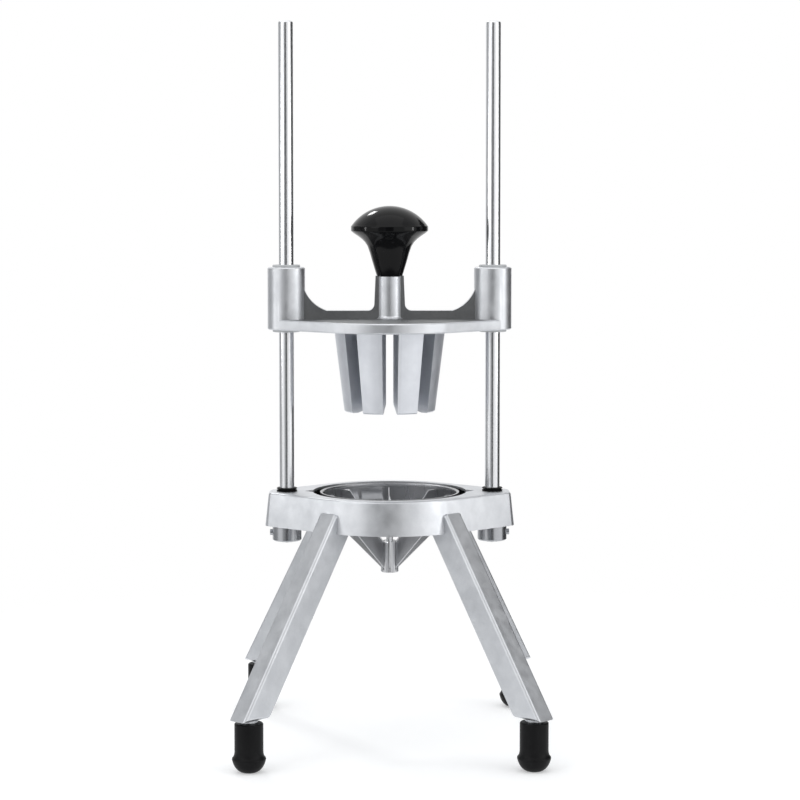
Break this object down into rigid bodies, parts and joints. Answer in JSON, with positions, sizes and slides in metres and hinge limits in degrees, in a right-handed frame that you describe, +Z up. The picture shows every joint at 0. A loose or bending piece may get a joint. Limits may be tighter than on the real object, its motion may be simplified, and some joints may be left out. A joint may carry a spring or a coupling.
{
  "type": "push-down fruit wedger",
  "caption": "Countertop fruit wedger press: a carriage with a mushroom knob and a fingered push block slides on two rods above a conical cartridge of radial blades in a four-legged cast stand.",
  "frame": {"origin": "on the surface that the feet stand on, below the middle of the blade cartridge", "axes": "+Z up along the guide rods; X along the line of the two rods; -Y is the front"},
  "size_m": [0.2064, 0.2144, 0.485],
  "materials": {
    "cast_aluminium": "tumbled satin casting",
    "push_block_aluminium": "pale matt casting",
    "polished_rod": "polished",
    "stainless_blade": "fine brushed",
    "fastener_steel": "satin plated",
    "rubber": "matt",
    "knob_black": "high gloss",
    "bushing": "satin",
    "brass": "turned"
  },
  "bodies": {
    "stand": {"base_casting": "cast_aluminium", "blade_ring": "stainless_blade", "blade_hub": "stainless_blade", "blade_1": "stainless_blade", "blade_2": "stainless_blade", "blade_3": "stainless_blade", "blade_4": "stainless_blade", "blade_5": "stainless_blade", "blade_6": "stainless_blade", "blade_7": "stainless_blade", "blade_8": "stainless_blade", "ring_gasket": "rubber", "guide_rod_left": "polished_rod", "rod_nut_left": "fastener_steel", "rod_set_screw_left": "fastener_steel", "bumper_left": "rubber", "guide_rod_right": "polished_rod", "rod_nut_right": "fastener_steel", "rod_set_screw_right": "fastener_steel", "bumper_right": "rubber", "leg_front_left": "cast_aluminium", "leg_screws_front_left": "fastener_steel", "foot_stud_front_left": "fastener_steel", "rubber_foot_front_left": "rubber", "leg_front_right": "cast_aluminium", "leg_screws_front_right": "fastener_steel", "foot_stud_front_right": "fastener_steel", "rubber_foot_front_right": "rubber", "leg_rear_left": "cast_aluminium", "leg_screws_rear_left": "fastener_steel", "foot_stud_rear_left": "fastener_steel", "rubber_foot_rear_left": "rubber", "leg_rear_right": "cast_aluminium", "leg_screws_rear_right": "fastener_steel", "foot_stud_rear_right": "fastener_steel", "rubber_foot_rear_right": "rubber"},
    "carriage": {"carriage": "cast_aluminium", "push_block": "push_block_aluminium", "push_block_screws": "fastener_steel", "knob": "knob_black", "knob_insert": "brass", "knob_stud": "fastener_steel", "upper_bushing_left": "bushing", "upper_bushing_right": "bushing", "lower_bushing_left": "bushing", "lower_bushing_right": "bushing"}
  },
  "joints": [
    {"name": "carriage_slide", "type": "slide", "parent": "stand", "child": "carriage", "axis": [0, 0, 1], "range_m": [-0.105, 0.16]}
  ]
}
